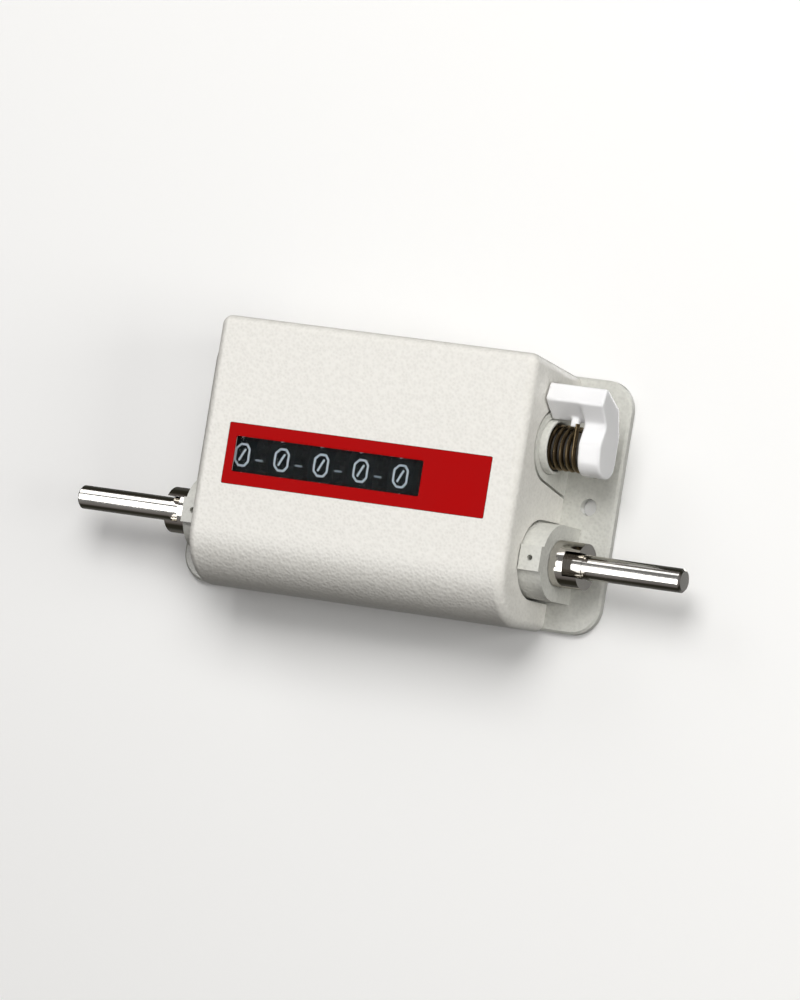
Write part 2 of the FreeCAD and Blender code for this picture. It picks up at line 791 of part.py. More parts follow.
def make_number_wheel(number):
    label = "number_wheel_%d" % number
    body = new_body(label)
    bore = size("wheel_shaft_diameter") / 2 + size("running_gap")
    hub = size("wheel_hub_diameter") / 2
    half = size("wheel_width") / 2
    disc = half + size("carry_disc_thickness")
    cam = disc + size("cam_thickness")
    hub_right = size("wheel_pitch") - cam - size("wheel_gap")
    disc_radius = size("carry_disc_diameter") / 2
    revolve(body, [(-cam, bore), (-cam, hub), (-disc, hub), (-disc, disc_radius), (-half, disc_radius),
                   (-half, wheel_radius), (half, wheel_radius), (half, hub), (hub_right, hub),
                   (hub_right, bore)])
    heart = sketch_on(body, "YZ_Plane", "-(wheel_width / 2 + carry_disc_thickness)")
    steps = 16
    corners = []
    for step in range(steps):
        share = abs(2.0 * step / steps - 1)
        radius = size("cam_lobe_radius") + (size("cam_valley_radius") - size("cam_lobe_radius")) * share
        corners.append(polar(valley_angle + 2 * math.pi * step / steps, radius))
    outline(heart, corners)
    circle(heart, 0, 0, "wheel_shaft_diameter + 2 * running_gap")
    pad(body, heart, "cam_thickness", True)
    carry = sketch_on(body, "YZ_Plane", "-wheel_width / 2")
    root, tip = math.radians(size("carry_root_deg")), math.radians(size("carry_tip_deg"))
    for turn in range(2):
        middle = pinion_angle + math.radians(size("carry_start_deg") + turn * size("carry_pitch_deg"))
        inner, outer = disc_radius - 1, disc_radius + size("carry_tooth_height")
        outline(carry, [polar(middle - root, inner), polar(middle - tip, outer),
                        polar(middle + tip, outer), polar(middle + root, inner)])
    pad(body, carry, "carry_disc_thickness", True)
    side = sketch_on(body, "YZ_Plane", "wheel_width / 2")
    if number < 5:
        count = int(size("carry_gear_teeth"))
        gear_outline(side, count, carry_pitch_radius, size("carry_module"), pinion_angle)
    else:
        count = int(size("ratchet_teeth"))
        tip = size("ratchet_diameter") / 2
        pitch = 2 * math.pi / count
        corners = []
        for tooth in range(count):
            corners.append(polar(tooth * pitch, tip - size("ratchet_depth")))
            corners.append(polar((tooth + 0.9) * pitch, tip))
        outline(side, corners)
    circle(side, 0, 0, "wheel_shaft_diameter + 2 * running_gap")
    pad(body, side, "carry_gear_width")
    place(body, "%s - %d * wheel_pitch" % (units_wheel_place, 5 - number), "0", "wheel_axis_height")
    return body


def make_transfer_pinion(number):
    # sits in the gap at the left of wheel number + 1; its far half has only every second tooth
    label = "transfer_pinion_%d" % number
    body = new_body(label)
    teeth = int(size("pinion_teeth"))
    facing = pinion_angle + math.pi + math.pi / teeth
    full = sketch_on(body, "YZ_Plane")
    gear_outline(full, teeth, pinion_pitch_radius, size("carry_module"), facing)
    circle(full, 0, 0, "pinion_shaft_diameter + 2 * running_gap")
    pad(body, full, "pinion_width / 2")
    half = sketch_on(body, "YZ_Plane", "pinion_width / 2")
    gear_outline(half, teeth, pinion_pitch_radius, size("carry_module"), facing, tip_every=2)
    circle(half, 0, 0, "pinion_shaft_diameter + 2 * running_gap")
    pad(body, half, "pinion_width / 2")
    start = "%s - %d * wheel_pitch" % (units_wheel_place, 4 - number)
    place(body, start + " - (wheel_pitch + pinion_width) / 2", "0", "0")
    body.setExpression("Placement.Base.y", None)
    body.setExpression("Placement.Base.z", None)
    body.Placement.Base.y = pinion_y
    body.Placement.Base.z = pinion_z
    return body


def make_units_drive_gear():
    # runs loose on the wheel shaft and carries the pawl that drives the units wheel
    body = new_body("units_drive_gear")
    count = int(size("gear_teeth"))
    teeth = sketch_on(body, "YZ_Plane", gear_place + " - gear_width / 2")
    gear_outline(teeth, count, gear_distance / 2, gear_module, gear_angle)
    pad(body, teeth, "gear_width")
    hub = sketch_on(body, "YZ_Plane", gear_place + " + gear_width / 2")
    circle(hub, 0, 0, "wheel_hub_diameter + 2")
    pad(body, hub, "gear_gap - gear_width / 2 - wheel_gap")
    nose = sketch_on(body, "YZ_Plane", gear_place + " - gear_width / 2")
    circle(nose, 0, 0, "wheel_hub_diameter")
    pad(body, nose, "units_wheel_gap - gear_gap - gear_width / 2 - wheel_pitch"
        " + wheel_width / 2 + carry_disc_thickness + cam_thickness", True)
    bore = sketch_on(body, "YZ_Plane", units_wheel_place)
    circle(bore, 0, 0, "wheel_shaft_diameter + 2 * running_gap")
    pocket(body, bore, "units_wheel_gap", True)
    rivet = sketch_on(body, "YZ_Plane", gear_place + " - gear_width / 2")
    circle(rivet, *pawl_pivot(), "cross_pin")
    pocket(body, rivet, "gear_width", True)
    place(body, "0", "0", "wheel_axis_height")
    return body


def pawl_pivot():
    return polar(math.radians(size("pawl_pivot_deg")), size("ratchet_diameter") / 2 + size("pawl_pivot_rise"))


# pawl outline about the wheel shaft: angle, height over the ratchet's tips
pawl_profile = [(40, 1.05), (52, 3.45), (70, 3.25), (84, 1.75), (97, 0.15), (84, 0.25), (60, 0.25)]


def make_drive_pawl():
    body = new_body("drive_pawl")
    start = units_wheel_place + " + wheel_width / 2 + pawl_gap"
    centre = pawl_pivot()
    arm = sketch_on(body, "YZ_Plane", start)
    outline(arm, [polar(math.radians(at_deg), size("ratchet_diameter") / 2 + rise)
                  for at_deg, rise in pawl_profile])
    circle(arm, *centre, "cross_pin")
    pad(body, arm, "pawl_thickness")
    place(body, "0", "0", "wheel_axis_height")
    return body


def make_pawl_rivet():
    pivot = pawl_pivot()
    start = (units_wheel_x + size("wheel_width") / 2 + size("pawl_gap"), pivot[0],
             wheel_z + pivot[1])
    return cylinder("pawl_rivet", "cross_pin",
                    "units_wheel_gap - gear_gap + gear_width / 2 - wheel_width / 2 - pawl_gap",
                    start, ALONG_X)


# Reset mechanism

def make_reset_shaft():
    body = new_body("reset_shaft_body")
    left, right = wheel_shaft_ends()
    rod = size("reset_rod_diameter") / 2
    radius = size("reset_shaft_diameter") / 2
    neck = radius - size("groove_depth")
    groove = reset_clip_place()
    step = groove - size("shaft_stub")
    clip = size("clip_thickness")
    start = left - size("rod_projection")
    end = cover_end + size("reset_shaft_reach")
    revolve(body, [(start, 0), (start, rod), (step, rod), (step, radius), (groove, radius),
                   (groove, neck), (groove + clip, neck), (groove + clip, radius), (end, radius),
                   (end, 0)])
    place(body, "0", "reset_rise", "reset_height")
    return cut("reset_shaft", body, [lever_pin_shape("reset_shaft_pin_hole")])


def reset_clip_place():
    return cover_end - size("block_inset") - size("clip_thickness") - size("wheel_gap")


def make_reset_shaft_clip():
    clip = retaining_clip("reset_shaft_clip", reset_clip_place(), reset_y, reset_z, "reset_shaft_diameter")
    return clip


def lever_ends():
    inner = cover_end + size("lever_gap")
    return inner, inner + size("lever_length")


def lever_pin_shape(label):
    outer = lever_ends()[1]
    low_y = reset_y - size("lever_pin_length") + size("lever_pin_rise")
    start = (outer - size("lever_plate") / 2, low_y, reset_z)
    return cylinder(label, "lever_pin_diameter", "lever_pin_length", start, ALONG_Y)


# lever outlines seen along the reset shaft: height up the face, distance outwards, corner radius
thumb_ridge = [(18.0, 8.1, 0.8), (12.7, 9.7, 0.8)]
plate_profile = [(7.2, 5.0, 3), (1.5, 7.1, 3), (-7.4, 5.5, 5.5), (-7.4, -4.5, 4.5), (5.0, -4.5, 4),
                 (13.0, -1.6, 2)]
ridge_end, plate_foot = thumb_ridge[0], plate_profile[-1]
back_lean = (ridge_end[0] - plate_foot[0]) / (ridge_end[1] - plate_foot[1])
thumb_profile = [(7.4, 3.3, 0.8), (9.0, 0.0, 0.8), (ridge_end[0] - ridge_end[1] * back_lean, 0.0, 0.8)]
nub_profile = [(6.0, 3.7, 0), (8.5, 2.8, 0), (9.5, 5.0, 0), (6.0, 5.5, 0)]


def lever_outline(sketch, corners):
    outline(sketch, [(reset_y + up, reset_z + out, radius) for up, out, radius in corners])


def make_reset_lever():
    # moulded lever: a plate on the shaft's end and a ridged thumb piece that reaches back to the cover
    body = new_body("reset_lever_body")
    inner, outer = lever_ends()
    plate = sketch_on(body, "YZ_Plane", "cover_length / 2 + lever_gap + lever_length")
    lever_outline(plate, thumb_ridge + plate_profile)
    pad(body, plate, "lever_plate", True)
    thumb = sketch_on(body, "YZ_Plane", "cover_length / 2 + lever_gap + lever_length")
    lever_outline(thumb, thumb_ridge + thumb_profile)
    pad(body, thumb, "lever_length", True)
    nub = sketch_on(body, "YZ_Plane", "cover_length / 2 + lever_gap + lever_length / 2")
    lever_outline(nub, nub_profile)
    pad(body, nub, "lever_plate / 3", True)
    bore = sketch_on(body, "YZ_Plane", "cover_length / 2 + reset_shaft_reach")
    circle(bore, reset_y, reset_z, "reset_shaft_diameter")
    pocket(body, bore, "reset_shaft_reach - lever_gap")
    return cut("reset_lever", body, [lever_pin_shape("reset_lever_pin_hole")])


def make_spring_sleeve():
    body = new_body("spring_sleeve")
    ring = sketch_on(body, "YZ_Plane", "cover_length / 2 + lever_gap + lever_length - lever_plate")
    circle(ring, reset_y, reset_z, "sleeve_diameter")
    circle(ring, reset_y, reset_z, "reset_shaft_diameter")
    pad(body, ring, "lever_length - lever_plate + lever_gap - boss_reach + pocket_depth - wheel_gap", True)
    return body


def make_reset_hammer(number):
    # arm on the reset shaft that strikes the heart cam of its wheel
    body = new_body("reset_hammer_%d" % number)
    half = size("wheel_width") / 2
    disc = half + size("carry_disc_thickness")
    arm = sketch_on(body, "YZ_Plane", "-(wheel_width / 2 + carry_disc_thickness"
                    " + (cam_thickness - hammer_thickness) / 2 + hammer_thickness)")
    strike = valley_angle + math.pi
    rest = strike - math.radians(size("reset_travel_deg"))
    along = Vector(math.cos(rest), math.sin(rest), 0)
    across = Vector(-along.y, along.x, 0) * (size("hammer_width") / 2)
    tip = along * size("hammer_length")
    corners = [-across, tip - across, tip + across, across]
    outline(arm, [(c.x, c.y) for c in corners])
    pad(body, arm, "hammer_thickness")
    hub = sketch_on(body, "YZ_Plane", "-(wheel_width / 2 + carry_disc_thickness"
                    " + (cam_thickness - hammer_thickness) / 2 + hammer_thickness)")
    circle(hub, 0, 0, "hammer_hub_diameter")
    pad(body, hub, "hammer_thickness")
    bore = sketch_on(body, "YZ_Plane", "-(wheel_width + wheel_pitch)")
    circle(bore, 0, 0, "reset_rod_diameter")
    pocket(body, bore, "wheel_pitch * 3", True)
    place(body, "%s - %d * wheel_pitch" % (units_wheel_place, 5 - number), "reset_rise", "reset_height")
    return body


def biarc(start, start_direction, end, end_direction):
    # two arcs that meet smoothly and follow the two given directions
    chord = end - start
    both = start_direction + end_direction
    square = 2 * (1 - start_direction.dot(end_direction))
    linear = 2 * chord.dot(both)
    reach = (-linear + math.sqrt(linear ** 2 + 4 * square * chord.dot(chord))) / (2 * square)
    first = start + start_direction * reach
    last = end - end_direction * reach
    meeting = (first + last) * 0.5
    edges = []
    for near, corner, far in ((start, first, meeting), (meeting, last, end)):
        edges.append(Part.Arc(near, arc_middle(near, corner, far), far).toShape())
    return edges


def arc_middle(near, corner, far):
    # middle of the arc that is tangent to near-corner and corner-far, which are equally long
    back = (near - corner).normalize()
    ahead = (far - corner).normalize()
    half = back.getAngle(ahead) / 2
    reach = near.distanceToPoint(corner)
    radius = reach * math.tan(half)
    centre = corner + (back + ahead).normalize() * (reach / math.cos(half))
    return centre + (corner - centre).normalize() * radius


def make_reset_spring():
    # torsion spring: a straight leg in the boss's notch, the coils, and a leg up to the thumb piece
    radius = size("spring_mean_radius")
    wire = size("spring_wire")
    turns = size("spring_turns")
    start_x = cover_end + size("boss_reach") - size("wheel_gap") - 0.1
    advance = size("spring_length") / (2 * math.pi * turns)
    slope = math.hypot(radius, advance)
    quarter_count = int(round(turns * 4))

    def point(angle):
        # the coil turns from the lower side towards the front as it runs outwards
        x = start_x + advance * angle
        around = math.pi - angle
        return Vector(x, reset_y + radius * math.cos(around), reset_z + radius * math.sin(around))

    def direction(angle):
        around = math.pi - angle
        return Vector(advance, radius * math.sin(around), -radius * math.cos(around)) * (1 / slope)

    last = quarter_count * math.pi / 2
    coil = []
    for half_turn in range(0, quarter_count, 2):
        begin, finish = half_turn * math.pi / 2, min((half_turn + 2) * math.pi / 2, last)
        coil += biarc(point(begin), direction(begin), point(finish), direction(finish))
    fixed_end = point(0) - direction(0) * size("spring_leg_fixed")
    free_end = point(last) + direction(last) * size("spring_leg")
    edges = [Part.LineSegment(fixed_end, point(0)).toShape()] + coil
    edges.append(Part.LineSegment(point(last), free_end).toShape())
    path = Part.Wire(edges)
    # the wire's section has a few flat sides, so that the long coil stays light
    along, side = direction(0), Vector(0, 0, 1).cross(direction(0)).normalize()
    across = along.cross(side)
    sides = int(size("spring_wire_sides"))
    turns_of_side = [2 * math.pi * k / sides for k in range(sides)]
    ring = [fixed_end + (side * math.cos(turn) + across * math.sin(turn)) * (wire / 2)
            for turn in turns_of_side]
    section = Part.makePolygon(ring + ring[:1])
    tube = path.makePipeShell([section], True, False)
    feature = doc.addObject("Part::Feature", "reset_spring")
    feature.Label = "reset_spring"
    feature.Shape = tube
    samples = [(step, point(step * math.pi / 18)) for step in range(quarter_count * 9 + 1)]
    gap = min(a.distanceToPoint(b) for i, a in samples for j, b in samples if j - i > 18) - wire
    print("reset spring: least gap to itself %.2f mm" % gap)
    print("reset spring: volume %.2f, section by length %.2f"
          % (tube.Volume, sides * wire ** 2 / 8 * math.sin(2 * math.pi / sides) * path.Length))
    return feature


def make_lever_pin():
    return lever_pin_shape("lever_pin")


nodes = [
    make_base_casting(),
    make_cover(),
    make_cover_screws(),
    make_window_lens(),
    make_window_mask(),
    make_frame_plate("frame_plate_left", left_frame_place, left_frame_x),
    make_frame_plate("frame_plate_right", right_frame_place, right_frame_x),
    make_frame_screws(),
    make_wheel_shaft(),
    make_wheel_shaft_clips(),
    make_pinion_shaft(),
    make_bearing_bush("bearing_bush_left", -1),
    make_bearing_bush("bearing_bush_right", 1),
    make_input_shaft(),
    make_shaft_collar("shaft_collar_left", -1),
    make_shaft_collar("shaft_collar_right", 1),
    make_collar_pins(),
    make_input_gear(),
    make_gear_pin(),
    make_units_drive_gear(),
    make_drive_pawl(),
    make_pawl_rivet(),
    make_reset_shaft(),
    make_reset_shaft_clip(),
    make_reset_lever(),
    make_lever_pin(),
    make_spring_sleeve(),
    make_reset_spring(),
]
for number in range(1, 6):
    nodes.append(make_number_wheel(number))
    nodes.append(make_reset_hammer(number))
for number in range(1, 5):
    nodes.append(make_transfer_pinion(number))

doc.recompute()

for item in doc.Objects:
    if "Invalid" in item.State or "Error" in item.State:
        raise RuntimeError("%s failed to rebuild: %s" % (item.Label, item.State))

os.makedirs("parts", exist_ok=True)
for node in nodes:
    shape = node.Shape
    if shape.isNull() or not shape.isValid() or not shape.Solids:
        raise RuntimeError("%s has no valid solid" % node.Label)
    shape.exportStep("parts/%s.step" % node.Label)
print("%d nodes written" % len(nodes))
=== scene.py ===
import math
import bpy
from mathutils import Matrix, Vector


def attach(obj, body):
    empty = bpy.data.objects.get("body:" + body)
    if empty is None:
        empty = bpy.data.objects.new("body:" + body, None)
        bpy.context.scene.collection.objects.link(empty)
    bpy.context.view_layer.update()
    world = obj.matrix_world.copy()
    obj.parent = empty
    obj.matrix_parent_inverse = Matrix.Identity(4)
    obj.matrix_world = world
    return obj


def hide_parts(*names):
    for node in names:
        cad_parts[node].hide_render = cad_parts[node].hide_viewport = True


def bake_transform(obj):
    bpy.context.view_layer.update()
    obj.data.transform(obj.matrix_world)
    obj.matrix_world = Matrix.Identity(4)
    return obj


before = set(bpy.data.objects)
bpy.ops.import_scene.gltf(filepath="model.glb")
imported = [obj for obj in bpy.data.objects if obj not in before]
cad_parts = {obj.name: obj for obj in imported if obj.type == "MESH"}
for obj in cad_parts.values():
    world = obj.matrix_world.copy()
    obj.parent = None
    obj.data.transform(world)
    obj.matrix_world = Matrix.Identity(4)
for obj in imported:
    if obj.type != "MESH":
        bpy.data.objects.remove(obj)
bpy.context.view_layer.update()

# Revolution counter: cast base, painted cover, red-bordered window, through shaft, sprung reset lever.
# Metres, in the part's own frame: X along the shaft, Y up the front face, Z out of the window.


def mm(value):
    return value / 1000.0


def clearSelection():
    for item in bpy.context.selected_objects:
        item.select_set(False)


def onlyActive(item):
    clearSelection()
    item.select_set(True)
    bpy.context.view_layer.objects.active = item


def bakePlace(item):
    onlyActive(item)
    bpy.ops.object.transform_apply(location=True, rotation=True, scale=True)
    return item


def applyAll(item):
    onlyActive(item)
    for modifier in list(item.modifiers):
        bpy.ops.object.modifier_apply(modifier=modifier.name)
    return item


# Finishes: every pattern is worked out from Object coordinates, in metres.

def newMaterial(name, colour, roughness, metallic=0.0, specular=0.5):
    material = bpy.data.materials.new(name)
    material.use_nodes = True
    nodes = material.node_tree.nodes
    shader = nodes["Principled BSDF"]
    shader.inputs["Base Color"].default_value = (*colour, 1)
    shader.inputs["Roughness"].default_value = roughness
    shader.inputs["Metallic"].default_value = metallic
    shader.inputs["Specular IOR Level"].default_value = specular
    return material, nodes, material.node_tree.links, shader


def objectPlace(nodes, links, scale=(1, 1, 1)):
    place = nodes.new("ShaderNodeTexCoord")
    mapping = nodes.new("ShaderNodeMapping")
    mapping.inputs["Scale"].default_value = scale
    links.new(place.outputs["Object"], mapping.inputs["Vector"])
    return mapping.outputs["Vector"]


def noiseOn(nodes, links, vector, scale, detail=3.0, roughness=0.5):
    noise = nodes.new("ShaderNodeTexNoise")
    noise.inputs["Scale"].default_value = scale
    noise.inputs["Detail"].default_value = detail
    noise.inputs["Roughness"].default_value = roughness
    links.new(vector, noise.inputs["Vector"])
    return noise.outputs["Fac"]


def scaledSum(nodes, links, value, factor, added):
    # value times factor, plus an added value or socket
    total = nodes.new("ShaderNodeMath")
    total.operation = "MULTIPLY_ADD"
    links.new(value, total.inputs[0])
    total.inputs[1].default_value = factor
    if isinstance(added, float):
        total.inputs[2].default_value = added
    else:
        links.new(added, total.inputs[2])
    return total.outputs["Value"]


def rampOn(nodes, links, value, stops):
    ramp = nodes.new("ShaderNodeValToRGB")
    while len(ramp.color_ramp.elements) < len(stops):
        ramp.color_ramp.elements.new(0.5)
    for element, (position, colour) in zip(ramp.color_ramp.elements, stops):
        element.position = position
        element.color = (*colour, 1)
    links.new(value, ramp.inputs["Fac"])
    return ramp.outputs["Color"]


def greyRamp(nodes, links, value, low, high):
    return rampOn(nodes, links, value, [(0.3, (low, low, low)), (0.7, (high, high, high))])


def bumpOn(nodes, links, height, shader, distance, strength):
    bump = nodes.new("ShaderNodeBump")
    bump.inputs["Distance"].default_value = distance
    bump.inputs["Strength"].default_value = strength
    links.new(height, bump.inputs["Height"])
    links.new(bump.outputs["Normal"], shader.inputs["Normal"])


hammerPaint = {
    "cells": 1050.0,             # dimples per metre
    "cellSoftness": 0.6,
    "dimpleShadeShare": 0.7,            # of the dimples in the tint, as painted shade darkening their floors, beside the mottle
    "mottle": 420.0,
    "grain": 2400.0,
    "grainShare": 0.2,
    "dimpleDepth": 0.00012,
    "dimpleStrength": 0.9,
    "roughness": 0.42,
    "smoothest": 0.34,
    "roughest": 0.52,
    "coat": 0.15,
    "coatRoughness": 0.22,
}
paints = {
    "coverPaint": {"light": (0.84, 0.825, 0.78), "dark": (0.77, 0.755, 0.71)},
    "basePaint": {"light": (0.67, 0.67, 0.625), "dark": (0.60, 0.60, 0.56)},
}


def hammerMaterial(name, light, dark):
    # stoved hammer-finish paint: close shallow dimples, their floors a little darker than their rims by
    # painted shade
    material, nodes, links, shader = newMaterial(name, light, hammerPaint["roughness"])
    place = objectPlace(nodes, links)
    cells = nodes.new("ShaderNodeTexVoronoi")
    cells.feature = "SMOOTH_F1"
    cells.inputs["Scale"].default_value = hammerPaint["cells"]
    cells.inputs["Smoothness"].default_value = hammerPaint["cellSoftness"]
    links.new(place, cells.inputs["Vector"])
    dimples = cells.outputs["Distance"]
    mottle = noiseOn(nodes, links, place, hammerPaint["mottle"], 3.0, 0.6)
    # the tint mixes painted shade in the dimple floors with a random mottle
    dimpleShadeAndMottle = scaledSum(nodes, links, dimples, hammerPaint["dimpleShadeShare"], mottle)
    links.new(rampOn(nodes, links, dimpleShadeAndMottle, [(0.55, dark), (1.0, light)]), shader.inputs["Base Color"])
    grain = noiseOn(nodes, links, place, hammerPaint["grain"], 2.0)
    height = scaledSum(nodes, links, grain, hammerPaint["grainShare"], dimples)
    bumpOn(nodes, links, height, shader, hammerPaint["dimpleDepth"], hammerPaint["dimpleStrength"])
    gloss = greyRamp(nodes, links, mottle, hammerPaint["smoothest"], hammerPaint["roughest"])
    links.new(gloss, shader.inputs["Roughness"])
    shader.inputs["Coat Weight"].default_value = hammerPaint["coat"]
    shader.inputs["Coat Roughness"].default_value = hammerPaint["coatRoughness"]
    return material


# grain: lines per metre along X, Y and Z; depth of the lines in metres; rim: brightness at a glancing angle
metals = {
    "shaftChrome": {"colour": (0.86, 0.84, 0.80), "roughness": 0.12, "grain": (900, 30, 30),
                    "depth": 0.000002, "spread": 0.04, "rim": 0.45},
    "collarChrome": {"colour": (0.84, 0.81, 0.76), "roughness": 0.10, "grain": (1500, 60, 60),
                     "depth": 0.000003, "spread": 0.03, "rim": 0.45},
    "plateSteel": {"colour": (0.62, 0.62, 0.60), "roughness": 0.34, "grain": (60, 2200, 60),
                   "depth": 0.000008},
    "darkSteel": {"colour": (0.34, 0.32, 0.29), "roughness": 0.36, "grain": (2600, 60, 60),
                  "depth": 0.000008},
    "springWire": {"colour": (0.17, 0.125, 0.07), "roughness": 0.27, "grain": (500, 500, 500),
                   "depth": 0.000010, "spread": 0.10},
    "bushBronze": {"colour": (0.60, 0.42, 0.20), "roughness": 0.33, "grain": (400, 400, 400),
                   "depth": 0.000012},
    "gearBrass": {"colour": (0.78, 0.60, 0.28), "roughness": 0.28, "grain": (60, 1800, 1800),
                  "depth": 0.000006},
}


def metalMaterial(name, colour, roughness, grain, depth, spread=0.08, rim=1.0):
    # turned or rolled metal: fine lines one way, a few duller patches, and a darker rim on bright plating
    material, nodes, links, shader = newMaterial(name, colour, roughness, metallic=1.0)
    shader.inputs["Specular Tint"].default_value = (rim, rim * 0.97, rim * 0.9, 1)
    lines = noiseOn(nodes, links, objectPlace(nodes, links, grain), 1.0, 4.0, 0.6)
    bumpOn(nodes, links, lines, shader, depth, 0.6)
    patches = noiseOn(nodes, links, objectPlace(nodes, links), 85.0)
    gloss = greyRamp(nodes, links, patches, roughness - spread, roughness + spread)
    links.new(gloss, shader.inputs["Roughness"])
    shade = rampOn(nodes, links, patches, [(0.3, tuple(c * 0.82 for c in colour)), (0.75, colour)])
    links.new(shade, shader.inputs["Base Color"])
    return material


# peel: depth of the orange peel in metres; glow: how much light goes a little way into the plastic
plastics = {
    "wheelBlack": {"colour": (0.0008, 0.002, 0.0028), "roughness": 0.5, "specular": 0.0},
    "pinionPlastic": {"colour": (0.80, 0.76, 0.66), "roughness": 0.42},
    "leverWhite": {"colour": (0.95, 0.95, 0.965), "roughness": 0.24, "peel": 0.000010, "spread": 0.05,
                   "glow": 0.25},
    "sleeveGrey": {"colour": (0.16, 0.15, 0.14), "roughness": 0.45},
    "maskRed": {"colour": (0.44, 0.0004, 0.001), "roughness": 0.42, "specular": 0.04},
    "figureWhite": {"colour": (0.46, 0.55, 0.61), "roughness": 0.5},
    "markBlue": {"colour": (0.20, 0.27, 0.31), "roughness": 0.5},
    "darkLineBlack": {"colour": (0.030, 0.012, 0.010), "roughness": 0.55},
}


def plasticMaterial(name, colour, roughness, peel=0.000012, spread=0.04, glow=0.0, specular=0.5):
    # moulded plastic: faint orange peel and slightly uneven gloss
    material, nodes, links, shader = newMaterial(name, colour, roughness, specular=specular)
    place = objectPlace(nodes, links)
    bumpOn(nodes, links, noiseOn(nodes, links, place, 420.0), shader, peel, 0.5)
    patches = noiseOn(nodes, links, place, 60.0, 2.0)
    gloss = greyRamp(nodes, links, patches, roughness - spread, roughness + spread)
    links.new(gloss, shader.inputs["Roughness"])
    shade = rampOn(nodes, links, patches, [(0.25, tuple(c * 0.94 for c in colour)), (0.7, colour)])
    links.new(shade, shader.inputs["Base Color"])
    if glow:
        shader.inputs["Subsurface Weight"].default_value = glow
        shader.inputs["Subsurface Radius"].default_value = (0.6, 0.6, 0.6)
        shader.inputs["Subsurface Scale"].default_value = 0.001
    return material


windowClear = {"colour": (0.02, 0.03, 0.03), "roughness": 0.05, "smoothest": 0.03, "roughest": 0.10,
               "smear": 70.0, "alpha": 0.04}


def clearMaterial():
    # clear window with faint wiping marks
    glass, nodes, links, shader = newMaterial("windowClear", windowClear["colour"], windowClear["roughness"])
    smear = noiseOn(nodes, links, objectPlace(nodes, links), windowClear["smear"])
    gloss = greyRamp(nodes, links, smear, windowClear["smoothest"], windowClear["roughest"])
    links.new(gloss, shader.inputs["Roughness"])
    shader.inputs["Alpha"].default_value = windowClear["alpha"]
    return glass


materials = {}
for kind, makeOne in ((paints, hammerMaterial), (metals, metalMaterial), (plastics, plasticMaterial)):
    for name, values in kind.items():
        materials[name] = makeOne(name, **values)
materials["windowClear"] = clearMaterial()
print("materials:", len(materials))


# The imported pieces: each node's finish, and the radius in mm of its eased edges.
nodeFinish = {
    "base_casting": ("basePaint", 0.45),
    "cover": ("coverPaint", 0.30),
    "cover_screws": ("plateSteel", 0.0),
    "window_lens": ("windowClear", 0.08),
    "window_mask": ("maskRed", 0.10),
    "frame_plate_left": ("plateSteel", 0.12),
    "frame_plate_right": ("plateSteel", 0.12),
    "frame_screws": ("plateSteel", 0.12),
    "wheel_shaft": ("darkSteel", 0.0),
    "wheel_shaft_clips": ("darkSteel", 0.0),
    "pinion_shaft": ("darkSteel", 0.0),
    "bearing_bush_left": ("bushBronze", 0.10),
    "bearing_bush_right": ("bushBronze", 0.10),
    "input_shaft": ("shaftChrome", 0.10),
    "shaft_collar_left": ("collarChrome", 0.22),
    "shaft_collar_right": ("collarChrome", 0.22),
    "collar_pins": ("darkSteel", 0.08),
    "input_gear": ("gearBrass", 0.05),
    "gear_pin": ("darkSteel", 0.0),
    "units_drive_gear": ("gearBrass", 0.05),
    "drive_pawl": ("darkSteel", 0.0),
    "pawl_rivet": ("darkSteel", 0.0),
    "reset_shaft": ("plateSteel", 0.15),
    "reset_shaft_clip": ("darkSteel", 0.0),
    "reset_lever": ("leverWhite", 0.0),
    "lever_pin": ("darkSteel", 0.08),
    "spring_sleeve": ("sleeveGrey", 0.15),
}
for number in range(1, 6):
    nodeFinish["number_wheel_%d" % number] = ("wheelBlack", 0.15)
    nodeFinish["reset_hammer_%d" % number] = ("plateSteel", 0.0)
for number in range(1, 5):
    nodeFinish["transfer_pinion_%d" % number] = ("pinionPlastic", 0.05)

easing = {
    "weld": 1e-6,                # metres
    "flatAngle": 0.6,            # degrees
    "edgeAngle": 32,
    "segments": 3,
    "normalWeight": 100,
}
leverSkin = {"node": "reset_lever", "voxel": 0.28, "passes": 30, "share": 0.35}


def easeEdges(item, radius):
    flat = item.modifiers.new("dissolve", "DECIMATE")
    flat.decimate_type = "DISSOLVE"
    flat.angle_limit = math.radians(easing["flatAngle"])
    edge = item.modifiers.new("edge", "BEVEL")
    edge.limit_method = "ANGLE"
    edge.angle_limit = math.radians(easing["edgeAngle"])
    edge.width = mm(radius)
    edge.segments = easing["segments"]


def softenLever(item):
    # the lever's moulded plastic has no hard edge anywhere
    skin = item.modifiers.new("skin", "REMESH")
    skin.mode = "VOXEL"
    skin.voxel_size = mm(leverSkin["voxel"])
    skin.use_smooth_shade = True
    soften = item.modifiers.new("soften", "SMOOTH")
    soften.factor = 0.5
    soften.iterations = leverSkin["passes"]
    thin = item.modifiers.new("thin", "DECIMATE")
    thin.ratio = leverSkin["share"]


def dressNode(node, finish, edgeRadius):
    # the mesh stays as packed: live modifiers weld it, soften its edges and even out its shading
    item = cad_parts[node]
    item.data.materials.clear()
    item.data.materials.append(materials[finish])
    item.data.polygons.foreach_set("use_smooth", [True] * len(item.data.polygons))
    weld = item.modifiers.new("weld", "WELD")
    weld.merge_threshold = easing["weld"]
    if node == leverSkin["node"]:
        softenLever(item)
    elif edgeRadius:
        easeEdges(item, edgeRadius)
    normals = item.modifiers.new("normals", "WEIGHTED_NORMAL")
    normals.weight = easing["normalWeight"]


for node, (finish, edgeRadius) in nodeFinish.items():
    dressNode(node, finish, edgeRadius)
print("nodes dressed:", len(nodeFinish))


# Steps that the new pieces share.

def addObject(name, item, finish):
    item.name = name
    item.data.name = name
    item.data.materials.clear()
    item.data.materials.append(materials[finish])
    return item


